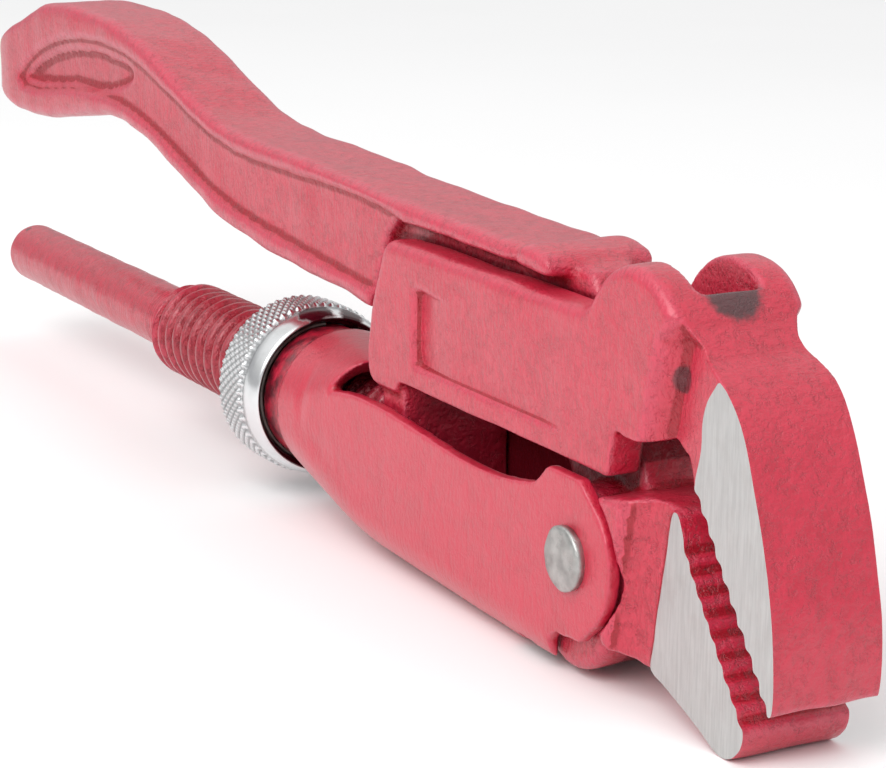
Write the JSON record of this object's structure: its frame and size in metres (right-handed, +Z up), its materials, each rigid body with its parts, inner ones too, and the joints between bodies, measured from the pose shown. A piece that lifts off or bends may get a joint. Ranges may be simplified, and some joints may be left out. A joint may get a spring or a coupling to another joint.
{
  "type": "pipe wrench",
  "caption": "Corner pipe wrench of the Swedish pattern: forged hook leg on a threaded rod, long lever leg, sheet-steel sleeve and knurled adjusting nut.",
  "frame": {"origin": "centre of the round rod's rear face", "axes": "+X along the rod towards the jaws, +Z up to the long lever, +Y across the tool along the pivot rivet"},
  "size_m": [0.294, 0.03, 0.0761],
  "materials": {
    "red_paint": "semi-gloss paint over forged and pressed steel",
    "zinc_plate": "bright zinc plate",
    "rivet_steel": "plain rivet steel",
    "spring_steel": "oiled spring steel",
    "ground_steel": "ground bare steel"
  },
  "bodies": {
    "hook": {"hook_leg": "red_paint"},
    "sleeve_body": {"sleeve": "red_paint", "pivot_rivet": "rivet_steel", "leaf_spring": "spring_steel", "spring_rivet": "rivet_steel"},
    "nut": {"adjusting_nut": "zinc_plate", "retaining_ring": "spring_steel"},
    "lever": {"lever_leg": "red_paint"}
  },
  "joints": [
    {"name": "sleeve_slide", "type": "slide", "parent": "hook", "child": "sleeve_body", "axis": [1, 0, 0], "range_m": [-0.035, 0.0045]},
    {"name": "nut_turn", "type": "hinge", "parent": "sleeve_body", "child": "nut", "pos_m": [0.14, 0, 0], "axis": [1, 0, 0], "range_deg": [-3500, 450]},
    {"name": "lever_swing", "type": "hinge", "parent": "sleeve_body", "child": "lever", "pos_m": [0.249, 0, 0], "axis": [0, 1, 0], "range_deg": [-1.5, 10]}
  ],
  "couplings": [
    {"joint": "nut_turn", "follows": "sleeve_slide", "rad_per_m": 1745.3}
  ]
}
